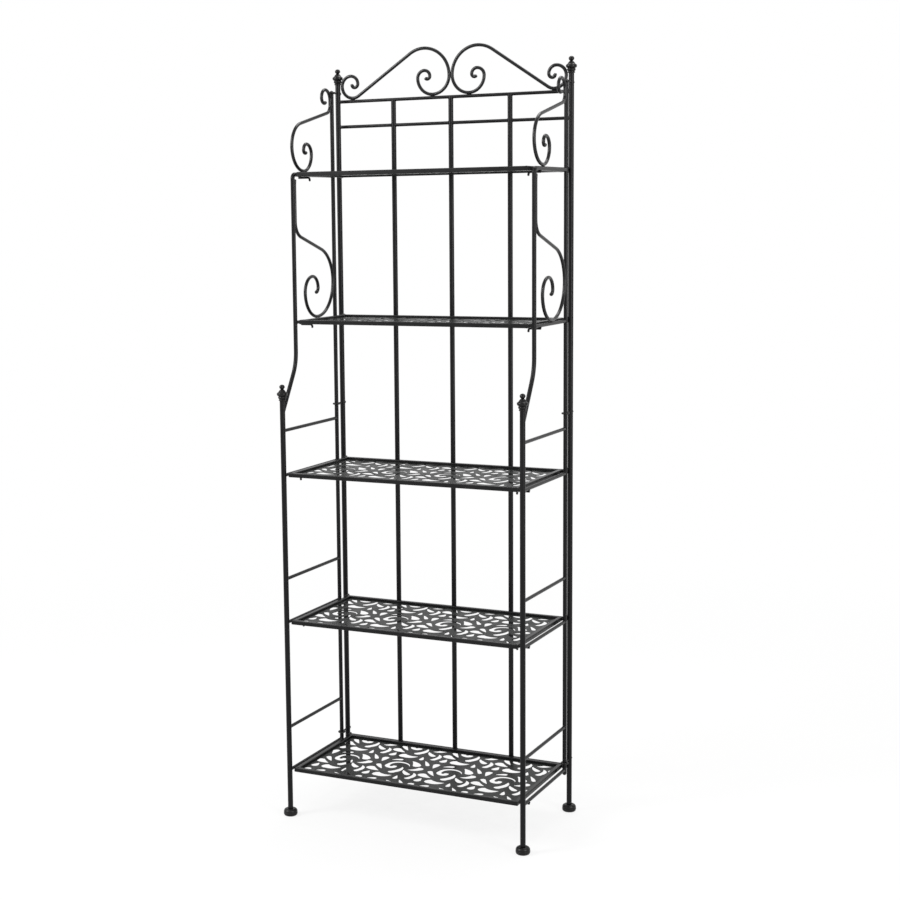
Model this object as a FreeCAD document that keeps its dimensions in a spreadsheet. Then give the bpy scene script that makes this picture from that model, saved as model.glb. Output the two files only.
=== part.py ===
import FreeCAD, Part
import math
import os
import re

import Sketcher
from FreeCAD import Placement, Rotation, Vector

# Folding bakers rack: a back frame, two side frames hinged to it by eye bolts, and five pierced
# shelves that pivot at their rear corners and rest on pegs of the side frames.
# Millimetres. +X to the right, +Y to the back, +Z up. The origin is on the floor, midway between
# the side frames and midway between the front and back posts.

doc = FreeCAD.newDocument("BakersRack")

drivingSizes = [
    ("frameWidth", 608, "left to right between post centres"),
    ("sideDepth", 276, "front post centre to hinge post centre"),
    ("hingeGap", 34, "hinge post centre to back post centre"),
    ("postDiameter", 12.7, "front and back post tube"),
    ("postWall", 1.2, "wall of the post tube"),
    ("hingePostDiameter", 10, "rear post of a side frame"),
    ("barDiameter", 12, "upright bars of the back frame"),
    ("barWall", 1, "wall of the upright bars"),
    ("rodDiameter", 10, "bent upper rod of a side frame"),
    ("railDiameter", 8, "rails and rungs"),
    ("scrollDiameter", 8, "all scrolls"),
    ("footDiameter", 34, "bun foot"),
    ("footHeight", 18, "bun foot"),
    ("footRound", 7, "rounding of a bun foot"),
    ("plugLength", 14, "stem of a foot or finial inside its tube"),
    ("frontPostRise", 72, "top of the front post tube above the high rung"),
    ("backPostRise", 41, "top of the back post tube above the crest rail"),
    ("hingePostTail", 14, "hinge post below the bottom support rail"),
    ("hingePostRise", 26, "hinge post above the crest rail"),
    ("collarDiameter", 17, "finial collar"),
    ("collarHeight", 11, "finial collar"),
    ("flareDiameter", 24, "widest part of a finial"),
    ("flareHeight", 17, "height of the widest part above the post"),
    ("neckDiameter", 6, "finial neck"),
    ("neckHeight", 28, "height of the neck above the post"),
    ("knobDiameter", 11.5, "ball on a finial"),
    ("knobSink", 1, "ball sunk into the neck"),
    ("crestRise", 180, "crest rail above the top support rail"),
    ("secondRailDrop", 61, "second rail below the crest rail"),
    ("topShelf", 1551, "support rail of the top shelf"),
    ("upperShelf", 1202, "support rail"),
    ("middleShelf", 842, "support rail"),
    ("lowerShelf", 483, "support rail"),
    ("bottomShelf", 115, "support rail"),
    ("rungRise", 107, "rung of a side frame above the support rail under it"),
    ("rodSetback", 71, "upright part of the upper rod behind the front post"),
    ("rodRise", 58, "degrees above level where the upper rod leaves the post"),
    ("rodBend", 100, "bend radius of the upper rod"),
    ("rodCorner", 9, "bend radius of the top corner"),
    ("rodStartDrop", 31, "upper rod's start below the top of the front post"),
    ("shelfTube", 10, "square tube of the shelf frame"),
    ("shelfWall", 1, "wall of the square tube"),
    ("tubeRound", 1.6, "rounding of the square tube"),
    ("shelfSideGap", 13, "side frame centre to shelf frame"),
    ("upperShelfSetback", 66, "front edge of the two upper shelves"),
    ("sheetThickness", 1.2, "pierced sheet"),
    ("sheetDrop", 5, "pierced sheet below the top of its frame"),
    ("sheetBorder", 4, "solid border round the piercing"),
    ("restGap", 0.3, "between a shelf and its pegs"),
    ("pivotSetback", 15, "pivot axis in front of the back posts"),
    ("pivotPinDiameter", 6, "shelf pivot pin"),
    ("pivotClearance", 0.05, "radial, pin in lug"),
    ("lugGap", 2, "between a shelf and its lug"),
    ("lugThickness", 5, "pivot lug"),
    ("lugHeight", 12, "pivot lug"),
    ("lugReach", 6, "lug in front of the pivot axis"),
    ("pinTail", 1.5, "pin beyond its lug"),
    ("pegDiameter", 5, "shelf peg"),
    ("pegSetback", 35, "peg behind the front upright"),
    ("pegOutboard", 4, "peg beyond the side frame centre"),
    ("pegReach", 22, "straight part inboard of the side frame centre"),
    ("pegBend", 5, "bend radius of the peg"),
    ("pegDrop", 4, "straight tip of the peg"),
    ("eyeWire", 4.5, "eye bolt wire"),
    ("eyeClearance", 0.1, "radial, hinge post in eye"),
    ("lowEyeRise", 17, "eye bolt above the bottom support rail"),
    ("middleEyeRise", 36, "eye bolt above the high rung"),
    ("highEyeDrop", 5.5, "eye bolt below the top of the hinge post"),
    ("eyeTail", 7, "eye bolt beyond the back post"),
    ("nutWidth", 8, "across the flats"),
    ("nutHeight", 4, "nut on the eye bolt"),
]

sheet = doc.addObject("Spreadsheet::Sheet", "Sizes")
for row, (alias, value, meaning) in enumerate(drivingSizes, start=1):
    sheet.set(f"A{row}", meaning)
    sheet.set(f"B{row}", str(value))
    sheet.setAlias(f"B{row}", alias)
doc.recompute()
size = {alias: float(sheet.get(alias)) for alias, value, meaning in drivingSizes}

aliasPattern = re.compile(r"\b(" + "|".join(size) + r")\b")
nodes = []

sides = {"left": -1, "right": 1}
shelfLevels = {"top": "topShelf", "upper": "upperShelf", "middle": "middleShelf",
               "lower": "lowerShelf", "bottom": "bottomShelf"}
setBackShelves = ("top", "upper")

# Places that many pieces share, as expressions of the sheet.
frontY = "(-(sideDepth + hingeGap) / 2)"
backY = "((sideDepth + hingeGap) / 2)"
hingeY = f"({backY} - hingeGap)"
pivotY = f"({backY} - pivotSetback)"
uprightY = f"({frontY} + rodSetback)"
postBore = "(postDiameter / 2 - postWall)"
crestZ = "(topShelf + crestRise)"
highRungZ = "(middleShelf + rungRise)"
backPostTop = f"({crestZ} + backPostRise)"
frontPostTop = f"({highRungZ} + frontPostRise)"
hingePostTop = f"({crestZ} + hingePostRise)"
hingePostBottom = "(bottomShelf - hingePostTail)"
shelfHalf = "(frameWidth / 2 - shelfSideGap)"
shelfRearY = f"({pivotY} + shelfTube / 2)"

turns = {
    "x": Rotation(Vector(0, 1, 0), 90),
    "y": Rotation(Vector(1, 0, 0), -90),
    "z": Rotation(),
}


def sideX(side):
    return f"({sides[side]} * frameWidth / 2)"


def railRadius(shelf):
    return "(rodDiameter / 2)" if shelf == "top" else "(railDiameter / 2)"


def shelfZ(shelf):
    # centre of the shelf frame, which rests on pegs under the support rail
    return f"({shelfLevels[shelf]} - {railRadius(shelf)} + restGap + shelfTube / 2)"


def shelfFrontY(shelf):
    return f"({frontY} + upperShelfSetback)" if shelf in setBackShelves else frontY


def bind(item, **expressions):
    for name, expression in expressions.items():
        path = name.replace("_", ".")
        item.setExpression(path, aliasPattern.sub(r"Sizes.\1", expression))


def place(item, x="0", y="0", z="0"):
    bind(item, Placement_Base_x=x, Placement_Base_y=y, Placement_Base_z=z)


def node(item, label):
    item.Label = label
    nodes.append(item)
    return item


def rod(name, radius, length, x="0", y="0", z="0", along="z"):
    item = doc.addObject("Part::Cylinder", name)
    item.Placement = Placement(Vector(), turns[along])
    bind(item, Radius=radius, Height=length)
    place(item, x, y, z)
    return item


def box(name, length, width, height, x="0", y="0", z="0"):
    item = doc.addObject("Part::Box", name)
    bind(item, Length=length, Width=width, Height=height)
    place(item, x, y, z)
    return item


def joined(name, items):
    if len(items) == 1:
        return items[0]
    item = doc.addObject("Part::MultiFuse", name)
    item.Shapes = items
    return item


def trimmed(name, base, tools):
    item = doc.addObject("Part::Cut", name)
    item.Base = base
    item.Tool = joined(name + "Tool", tools)
    return item


def grouped(name, items):
    item = doc.addObject("Part::Compound", name)
    item.Links = items
    return item


def shaped(name, shape):
    item = doc.addObject("Part::Feature", name)
    item.Shape = shape
    return item


def originPlane(body, role):
    return next(item for item in body.Origin.OriginFeatures if item.Role == role)


def newSketch(body, name, role):
    sketch = body.newObject("Sketcher::SketchObject", name)
    sketch.AttachmentSupport = (originPlane(body, role), "")
    sketch.MapMode = "FlatFace"
    return sketch


def lock(sketch, kind, first, expression, *more):
    # a dimension bound to the sheet, started at its value in the sheet's units
    index = sketch.addConstraint(Sketcher.Constraint(kind, *first, *more, 1.0))
    sketch.setExpression(f"Constraints[{index}]", aliasPattern.sub(r"Sizes.\1", expression))


# ---- posts with their feet and finials ----

def tube(name, label, x, y, z, radius, wall, length, extraTools=()):
    outer = rod(name + "Outer", radius, length, x, y, z)
    bore = rod(name + "Bore", f"{radius} - {wall}", length, x, y, z)
    return outer, node(trimmed(name, outer, [bore, *extraTools]), label)


def isFlat(face):
    return isinstance(face.Surface, Part.Plane)


def foot(label, x, y):
    body = doc.addObject("PartDesign::Body", label)
    bunSketch = newSketch(body, label + "_outline", "XY_Plane")
    bunSketch.addGeometry(Part.Circle(Vector(), Vector(0, 0, 1), 10), False)
    bunSketch.addConstraint(Sketcher.Constraint("Coincident", 0, 3, -1, 1))
    lock(bunSketch, "Diameter", (0,), "footDiameter")
    bun = body.newObject("PartDesign::Pad", label + "_bun")
    bun.Profile = bunSketch
    bind(bun, Length="footHeight")
    doc.recompute()
    rounding = body.newObject("PartDesign::Fillet", label + "_round")
    flats = [f"Face{index}" for index, face in enumerate(bun.Shape.Faces, 1) if isFlat(face)]
    rounding.Base = (bun, flats)
    bind(rounding, Radius="min(footRound; footHeight / 2 - 0.5)")
    stemSketch = newSketch(body, label + "_stem_outline", "XY_Plane")
    stemSketch.addGeometry(Part.Circle(Vector(), Vector(0, 0, 1), 2), False)
    stemSketch.addConstraint(Sketcher.Constraint("Coincident", 0, 3, -1, 1))
    lock(stemSketch, "Radius", (0,), postBore)
    stem = body.newObject("PartDesign::Pad", label + "_stem")
    stem.Profile = stemSketch
    bind(stem, Length="footHeight + plugLength")
    body.Tip = stem
    place(body, x, y)
    return node(body, label)


def finial(label, x, y, z):
    # turned profile: radius and height above the post top, with the plug below it
    profile = [
        (postBore, "-plugLength"),
        (postBore, "0"),
        ("collarDiameter / 2", "0"),
        ("collarDiameter / 2", "collarHeight"),
        ("flareDiameter / 2", "flareHeight"),
        ("neckDiameter / 2", "neckHeight"),
    ]
    body = doc.addObject("PartDesign::Body", label)
    sketch = newSketch(body, label + "_profile", "XZ_Plane")
    firstGuess = [(0, -9), (4, -9), (4, 0), (8, 0), (8, 9), (12, 15), (3, 25), (0, 25)]
    guess = [Vector(across, up, 0) for across, up in firstGuess]
    count = len(guess)
    for start, end in zip(guess, guess[1:] + guess[:1]):
        sketch.addGeometry(Part.LineSegment(start, end), False)
    for step in range(count):
        sketch.addConstraint(Sketcher.Constraint("Coincident", step, 2, (step + 1) % count, 1))
    sketch.addConstraint(Sketcher.Constraint("PointOnObject", 0, 1, -2))
    sketch.addConstraint(Sketcher.Constraint("PointOnObject", count - 1, 1, -2))
    sketch.addConstraint(Sketcher.Constraint("Horizontal", 0))
    sketch.addConstraint(Sketcher.Constraint("Horizontal", count - 2))
    for step, (radius, height) in enumerate(profile, start=1):
        lock(sketch, "DistanceX", (-1, 1, step, 1), radius)
        if height == "0":
            sketch.addConstraint(Sketcher.Constraint("PointOnObject", step, 1, -1))
        elif height.startswith("-"):
            lock(sketch, "DistanceY", (step, 1, -1, 1), height[1:])
        else:
            lock(sketch, "DistanceY", (-1, 1, step, 1), height)
    turned = body.newObject("PartDesign::Revolution", label + "_turned")
    turned.Profile = sketch
    turned.ReferenceAxis = (sketch, ["V_Axis"])
    turned.Angle = 360
    knob = body.newObject("PartDesign::AdditiveSphere", label + "_knob")
    bind(knob, Radius="knobDiameter / 2")
    place(knob, z="neckHeight + knobDiameter / 2 - knobSink")
    body.Tip = knob
    place(body, x, y, z)
    return node(body, label)


# ---- bent bars ----

def bentPath(heading, bends):
    # follows a bend list from the origin: ("straight", length) or ("bend", radius, degrees),
    # where a bend to the left has positive degrees
    x, y, angle = 0.0, 0.0, math.radians(heading)
    edges = []
    for kind, *values in bends:
        start = Vector(x, y, 0)
        if kind == "straight":
            x += values[0] * math.cos(angle)
            y += values[0] * math.sin(angle)
            edges.append(Part.LineSegment(start, Vector(x, y, 0)).toShape())
            continue
        radius, sweep = values[0], math.radians(values[1])
        turn = math.copysign(1, sweep)
        centreX = x - turn * radius * math.sin(angle)
        centreY = y + turn * radius * math.cos(angle)

        def onBend(share):
            swept = angle + share * sweep
            spoke = Vector(math.sin(swept), -math.cos(swept), 0)
            return Vector(centreX, centreY, 0) + spoke * turn * radius

        edges.append(Part.Arc(start, onBend(0.5), onBend(1)).toShape())
        x, y = onBend(1).x, onBend(1).y
        angle += sweep
    return edges


def seated(edges, low=None, right=None, left=None):
    # moves a flat path until its lowest point, and its left or right one, lie on the given lines
    wire = Part.Wire(Part.__sortEdges__(edges))
    bounds = wire.BoundBox
    shiftX = right - bounds.XMax if right is not None else left - bounds.XMin
    wire.translate(Vector(shiftX, low - bounds.YMin, 0))
    return wire


def pipe(wire, diameter):
    start = wire.OrderedEdges[0]
    point = start.firstVertex(True).Point
    tangent = start.tangentAt(start.FirstParameter if start.Orientation == "Forward" else start.LastParameter)
    ring = Part.Wire([Part.Circle(point, tangent, diameter / 2).toShape()])
    solid = wire.makePipe(Part.Face(ring))
    if solid.Volume < 0:
        solid.reverse()
    return solid


def inSidePlane(wire, x):
    # path across becomes +Y and path up becomes +Z
    turned = wire.copy()
    turned.rotate(Vector(), Vector(1, 0, 0), 90)
    turned.rotate(Vector(), Vector(0, 0, 1), 90)
    turned.translate(Vector(x, 0, 0))
    return turned


def inBackPlane(wire, y):
    turned = wire.copy()
    turned.rotate(Vector(), Vector(1, 0, 0), 90)
    turned.translate(Vector(0, y, 0))
    return turned


def mirroredX(shape):
    return shape.mirror(Vector(), Vector(1, 0, 0))


# ---- back frame ----

postRadius = "(postDiameter / 2)"
backOuter = {}
eyeHeights = {
    "Low": "(bottomShelf + lowEyeRise)",
    "Middle": f"({highRungZ} + middleEyeRise)",
    "High": f"({hingePostTop} - highEyeDrop)",
}

for side in sides:
    bores = []
    bolts = []
    nuts = []
    for level, z in eyeHeights.items():
        tag = side.title() + level
        ringRadius = "(hingePostDiameter / 2 + eyeClearance + eyeWire / 2)"
        shankEnd = f"{backY} + postDiameter / 2 + eyeTail"
        shankStart = f"{hingeY} + {ringRadius}"
        shankLength = f"{shankEnd} - ({shankStart})"
        shank = rod("Shank" + tag, "eyeWire / 2", shankLength, sideX(side), shankStart, z, "y")
        ring = doc.addObject("Part::Torus", "Eye" + tag)
        bind(ring, Radius1=ringRadius, Radius2="eyeWire / 2")
        place(ring, sideX(side), hingeY, z)
        bolts.append(joined("EyeBolt" + tag, [ring, shank]))
        bores.append(shank)
        prism = doc.addObject("Part::Prism", "NutBlank" + tag)
        prism.Polygon = 6
        prism.Placement = Placement(Vector(), turns["y"])
        bind(prism, Circumradius="nutWidth / sqrt(3)", Height="nutHeight")
        place(prism, sideX(side), f"{backY} + postDiameter / 2", z)
        nuts.append(trimmed("Nut" + tag, prism, [shank]))
    outer, post = tube("BackPost" + side.title(), f"back_post_{side}", sideX(side), backY, "footHeight",
                       postRadius, "postWall", f"{backPostTop} - footHeight", bores)
    backOuter[side] = outer
    node(grouped("EyeBolts" + side.title(), bolts), f"hinge_eye_bolts_{side}")
    node(grouped("HingeNuts" + side.title(), nuts), f"hinge_nuts_{side}")
    foot(f"back_foot_{side}", sideX(side), backY)
    finial(f"back_finial_{side}", sideX(side), backY, backPostTop)

posts = list(backOuter.values())
barRadius = "(barDiameter / 2)"
barPlaces = {"left": "-frameWidth / 4", "middle": "0", "right": "frameWidth / 4"}  # evenly spaced


def crossRail(name, z):
    return rod(name, "railDiameter / 2", "frameWidth", "-frameWidth / 2", backY, z, "x")


crestRail = crossRail("CrestRailBar", crestZ)
footRail = crossRail("FootRailBar", "bottomShelf")
node(trimmed("CrestRail", crestRail, posts), "crest_rail")
node(trimmed("FootRail", footRail, posts), "foot_rail")

barOuters = []
for where, x in barPlaces.items():
    outer, bar = tube("Bar" + where.title(), f"back_bar_{where}", x, backY, "bottomShelf",
                      barRadius, "barWall", f"{crestZ} - bottomShelf", [crestRail, footRail])
    barOuters.append(outer)
secondRail = crossRail("SecondRailBar", f"{crestZ} - secondRailDrop")
node(trimmed("SecondRail", secondRail, posts + barOuters), "second_rail")

for side in sides:
    lugs = []
    for shelf in shelfLevels:
        tag = side.title() + shelf.title()
        inner = f"({shelfHalf} + lugGap)"
        x = inner if side == "right" else f"-{inner} - lugThickness"
        plate = box("LugPlate" + tag, "lugThickness", "lugReach + pivotSetback", "lugHeight",
                    x, f"{pivotY} - lugReach", f"{shelfZ(shelf)} - lugHeight / 2")
        hole = rod("LugHole" + tag, "pivotPinDiameter / 2 + pivotClearance", "lugThickness",
                   x, pivotY, shelfZ(shelf), "x")
        lugs.append(trimmed("Lug" + tag, plate, [hole, backOuter[side], footRail]))
    node(grouped("PivotLugs" + side.title(), lugs), f"shelf_pivot_lugs_{side}")

doc.recompute()
halfWidth = size["frameWidth"] / 2
barThick = size["scrollDiameter"]
backPlane = backOuter["right"].Placement.Base.y

# Each crest scroll: a spiral, an arch, a straight slope and a curl against the finial's collar.
archRadius = 66
lobeRadius = 43.5
spiralRadii = (39, 18, 14)
spiralEnd = (6.5, 160)
curlRadii = (29, 24, 19, 9)
curlEnd = (6.5, 120)

crestSeat = size["topShelf"] + size["crestRise"] + size["railDiameter"] / 2 + barThick / 2
curlCentreX = halfWidth - size["collarDiameter"] / 2 - barThick / 2 - curlRadii[0]
archX = barThick / 2 + archRadius
run = curlCentreX - archX
bendSum = archRadius + curlRadii[0]
rise = archRadius + lobeRadius - bendSum
slope = math.sqrt(run ** 2 + rise ** 2 - bendSum ** 2)
slopeAngle = math.degrees(math.atan2(bendSum, slope) + math.atan2(rise, run))

outward = [("bend", archRadius, -slopeAngle), ("straight", slope), ("bend", curlRadii[0], slopeAngle)]
outward += [("bend", radius, 90) for radius in curlRadii] + [("bend", *curlEnd)]
inward = [("bend", archRadius, 90), ("bend", lobeRadius, 90)]
inward += [("bend", radius, 90) for radius in spiralRadii] + [("bend", *spiralEnd)]
crestWire = seated(bentPath(0, outward) + bentPath(180, inward), low=crestSeat, left=barThick / 2)
crestShape = pipe(inBackPlane(crestWire, backPlane), barThick)
node(shaped("CrestScrollRight", crestShape), "crest_scroll_right")
node(shaped("CrestScrollLeft", mirroredX(crestShape)), "crest_scroll_left")


# ---- side frames ----

frontOuter = {}
hingePost = {}
rungShelves = ("bottom", "lower", "middle")
lowRails = ("upper", "middle", "lower", "bottom")

for side in sides:
    name = side.title()
    x = sideX(side)
    outer, post = tube("FrontPost" + name, f"front_post_{side}", x, frontY, "footHeight",
                       postRadius, "postWall", f"{frontPostTop} - footHeight")
    frontOuter[side] = outer
    hingePost[side] = rod("HingePost" + name, "hingePostDiameter / 2", f"{hingePostTop} - {hingePostBottom}",
                          x, hingeY, hingePostBottom)
    node(hingePost[side], f"hinge_post_{side}")
    foot(f"front_foot_{side}", x, frontY)
    finial(f"front_finial_{side}", x, frontY, frontPostTop)
    rungs = []
    for shelf in rungShelves:
        blank = rod("RungBar" + name + shelf.title(), "railDiameter / 2", "sideDepth",
                    x, frontY, f"{shelfLevels[shelf]} + rungRise", "y")
        rungs.append(trimmed("Rung" + name + shelf.title(), blank, [outer, hingePost[side]]))
    node(grouped("Rungs" + name, rungs), f"rungs_{side}")

doc.recompute()
frontPlane = frontOuter["right"].Placement.Base.y
hingePlane = hingePost["right"].Placement.Base.y
rodUpright = frontPlane + size["rodSetback"]
rearTouch = hingePlane - size["hingePostDiameter"] / 2 - barThick / 2
frontTouch = rodUpright + size["rodDiameter"] / 2 + barThick / 2
topSeat = size["topShelf"] + size["rodDiameter"] / 2 + barThick / 2
upperSeat = size["upperShelf"] + size["railDiameter"] / 2 + barThick / 2


def upperRodWire():
    # up from the front post, upright to the top corner, then level to the hinge post
    upright = 90  # degrees
    rodRise = math.radians(size["rodRise"])
    postTop = size["middleShelf"] + size["rungRise"] + size["frontPostRise"]
    rodStart = postTop - size["rodStartDrop"]
    bend = size["rodBend"]
    lean = (size["rodSetback"] - bend * (1 - math.sin(rodRise))) / math.cos(rodRise)
    bendTop = rodStart + lean * math.sin(rodRise) + bend * math.cos(rodRise)
    bends = [
        ("straight", lean),
        ("bend", bend, upright - size["rodRise"]),
        ("straight", size["topShelf"] - size["rodCorner"] - bendTop),
        ("bend", size["rodCorner"], -90),
        ("straight", hingePlane - rodUpright - size["rodCorner"]),
    ]
    return seated(bentPath(size["rodRise"], bends), low=rodStart, left=frontPlane)


def scaledBends(bends, factor):
    # a bend list with its lengths and radii scaled and its angles kept
    return [(kind, values[0] * factor, *values[1:]) for kind, *values in bends]


# The upper scroll: from the hinge post forward and down to a belly with a spiral in it, and from
# the hinge post up to a small curl. Drawn for its window, from the top rail to the high eye bolt.
upperWindow = 191.5
upperDown = [("bend", 22, -77.5), ("straight", 138), ("bend", 57, 77.5), ("bend", 56, 90)]
upperDown += [("bend", 40, 90), ("bend", 24, 90), ("bend", 14.5, 90), ("bend", 7, 150)]
upperUp = [("straight", 10), ("bend", 24, 90), ("bend", 19.5, 90), ("bend", 13, 90), ("bend", 8, 70)]

# The lower scroll: down beside the upper rod, back to the hinge post and round to a spiral on the
# rail. Drawn for its window, from the rail up to the top corner of the rod.
lowerWindow = 326
shoulder, hip, sweepAngle = 38, 82, 73
lowerBelly = [("bend", 84, -90), ("bend", 60, -90), ("bend", 38, -90), ("bend", 28, -90), ("bend", 11, -100)]
strandGap = 1


def upperScrollWire():
    eye = size["topShelf"] + size["crestRise"] + size["hingePostRise"] - size["highEyeDrop"]
    factor = (eye - topSeat) / upperWindow
    edges = bentPath(-90, scaledBends(upperDown, factor)) + bentPath(90, scaledBends(upperUp, factor))
    return seated(edges, low=topSeat, right=rearTouch)


def lowerScrollWire():
    window = size["topShelf"] - size["rodCorner"] - strandGap - upperSeat
    factor = min(1, window / lowerWindow)
    bends = [("bend", shoulder, sweepAngle), ("bend", hip, -sweepAngle)]
    first, second = scaledBends(bends, factor)
    belly = scaledBends(lowerBelly, factor)
    cosSweep = math.cos(math.radians(sweepAngle))
    sinSweep = math.sin(math.radians(sweepAngle))
    bendSum = first[1] + second[1]
    sweep = (rearTouch - frontTouch - bendSum * (1 - cosSweep)) / sinSweep
    strand = window - belly[0][1] - bendSum * sinSweep - sweep * cosSweep
    path = [("straight", strand), first, ("straight", sweep), second, *belly]
    return seated(bentPath(-90, path), low=upperSeat, right=rearTouch)


def pegShape(x, y, z, inboard):
    # a wire peg across the side frame whose inboard end is bent down
    bends = [
        ("straight", size["pegOutboard"] + size["pegReach"]),
        ("bend", size["pegBend"], -90),
        ("straight", size["pegDrop"]),
    ]
    wire = Part.Wire(bentPath(0, bends))
    wire.translate(Vector(-size["pegOutboard"], 0, 0))
    shape = pipe(inBackPlane(wire, 0), size["pegDiameter"])
    if inboard < 0:
        shape = mirroredX(shape)
    shape.translate(Vector(x, y, z))
    return shape


for side, sign in sides.items():
    name = side.title()
    planeX = sign * halfWidth
    rodShape = pipe(inSidePlane(upperRodWire(), planeX), size["rodDiameter"])
    rodShape = rodShape.cut(frontOuter[side].Shape).cut(hingePost[side].Shape)
    rodPiece = max(rodShape.Solids, key=lambda solid: solid.Volume)
    upperRod = node(shaped("UpperRod" + name, rodPiece), f"upper_rod_{side}")
    rails = []
    for shelf in lowRails:
        start, uprights = frontY, [frontOuter[side], hingePost[side]]
        if shelf in setBackShelves:
            start, uprights = uprightY, [upperRod, hingePost[side]]
        blank = rod("RailBar" + name + shelf.title(), "railDiameter / 2", f"{hingeY} - {start}",
                    sideX(side), start, shelfLevels[shelf], "y")
        rails.append(trimmed("Rail" + name + shelf.title(), blank, uprights))
    node(grouped("ShelfRails" + name, rails), f"shelf_rails_{side}")
    upperScroll = pipe(inSidePlane(upperScrollWire(), planeX), barThick)
    lowerScroll = pipe(inSidePlane(lowerScrollWire(), planeX), barThick)
    node(shaped("UpperScroll" + name, upperScroll), f"upper_scroll_{side}")
    node(shaped("LowerScroll" + name, lowerScroll), f"lower_scroll_{side}")
    pegs = []
    for shelf, alias in shelfLevels.items():
        upright = rodUpright if shelf in setBackShelves else frontPlane
        railThick = size["rodDiameter"] if shelf == "top" else size["railDiameter"]
        pegZ = size[alias] - railThick / 2 - size["pegDiameter"] / 2
        pegs.append(pegShape(planeX, upright + size["pegSetback"], pegZ, -sign))
    node(shaped("ShelfPegs" + name, Part.makeCompound(pegs)), f"shelf_pegs_{side}")


# ---- shelves ----

# One repeat of the piercing, a flowing scroll of leaves, from the shelf's front left corner. Each leaf
# has a round head and a pointed tip: head centre, head radius, tip, and how far the tail bows to the
# left of its own direction.
repeatWidth = 138.5
repeatDepth = 151.5
leaves = [
    (28.5, 125.5, 6.5, 50, 98.5, -1),
    (21.5, 96.5, 12, 51.5, 83, -2.5),
    (82, 88, 10, 91, 131.5, -7.5),
    (124.5, 85.5, 7.5, 102.5, 111.5, 2),
    (137, 61, 8.5, 134, 102.5, -8),
    (26.5, 56, 9.5, 29, 75.5, 0),
    (58, 60.5, 14.5, 95, 68.5, -8),
    (109.5, 47.5, 6, 105.5, 69.5, 0),
    (143, 12.5, 5, 123, 43.5, -1),
    (23.5, 25.5, 9, 25, -3, 0.5),
    (119, 1.5, 11, 94.5, 30, -3),
    (135, 131.5, 11.5, 108, 118, 6),
    (63, 27.5, 7.5, 40, 14.5, -2),
]
# The curl of the repeat, as an outline of arcs: each corner and a point on the arc that follows it.
curl = [
    ((106, 137.5), (95, 158.5)),
    ((73, 166), (53, 156.5)),
    ((46, 138.5), (50, 117)),
    ((63, 110), (76, 115)),
    ((78, 123.5), (73, 132.5)),
    ((65, 131.5), (60.5, 125.5)),
    ((57, 131.5), (61, 148)),
    ((76, 155.5), (94, 151.5)),
]
smallestPiercing = 20  # square millimetres
leafFullness = 0.04  # how far a leaf's sides swell, as a share of its length


def arcLoop(corners):
    edges = []
    for (corner, via), (following, nextVia) in zip(corners, corners[1:] + corners[:1]):
        edges.append(Part.Arc(Vector(*corner), Vector(*via), Vector(*following)).toShape())
    return Part.Face(Part.Wire(edges))


def leafFace(headX, headY, radius, tipX, tipY, bow):
    length = math.hypot(tipX - headX, tipY - headY)
    alongX, alongY = (tipX - headX) / length, (tipY - headY) / length
    acrossX, acrossY = -alongY, alongX
    fullness = leafFullness * length

    def at(along, across):
        return (headX + along * alongX + across * acrossX, headY + along * alongY + across * acrossY)

    left, right, tip = at(0, radius), at(0, -radius), (tipX, tipY)
    leftVia = at(length / 2, radius / 2 + bow + fullness)
    rightVia = at(length / 2, -radius / 2 + bow - fullness)
    return arcLoop([(left, at(-radius, 0)), (right, rightVia), (tip, leftVia)])


def piercing(width, depth):
    # every repeat that fits, trimmed to the solid border; the origin is the shelf's front left corner
    border = size["shelfTube"] + size["sheetBorder"]
    field = Part.makePlane(width - 2 * border, depth - 2 * border, Vector(border, border, 0))
    motif = [leafFace(*leaf) for leaf in leaves] + [arcLoop(curl)]
    faces = []
    for column in range(-2, math.ceil(width / repeatWidth) + 1):
        for line in range(-2, math.ceil(depth / repeatDepth) + 1):
            shift = Vector(column * repeatWidth, line * repeatDepth, 0)
            for face in motif:
                moved = face.copy()
                moved.translate(shift)
                faces += [part for part in moved.common(field).Faces if part.Area > smallestPiercing]
    return faces


def block(name, front, lowZ, inset, height):
    # a slab the size of the shelf, drawn in from its edges by the inset
    return box(name, f"2 * ({shelfHalf} - {inset})", f"{shelfRearY} - {front} - 2 * {inset}", height,
               f"-({shelfHalf} - {inset})", f"{front} + {inset}", lowZ)


def shelfRing(name, front, lowZ, inset):
    # the ring of the shelf's square tube, or of the hollow in it when inset by the wall
    height = f"shelfTube - 2 * {inset}"
    outer = block(name + "Outer", front, f"{lowZ} + {inset}", inset, height)
    inner = block(name + "Inner", front, f"{lowZ} + {inset}", f"(shelfTube - {inset})", height)
    return trimmed(name, outer, [inner])


doc.recompute()
shelfWide = 2 * (halfWidth - size["shelfSideGap"])
shelfRear = backPlane - size["pivotSetback"] + size["shelfTube"] / 2

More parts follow.
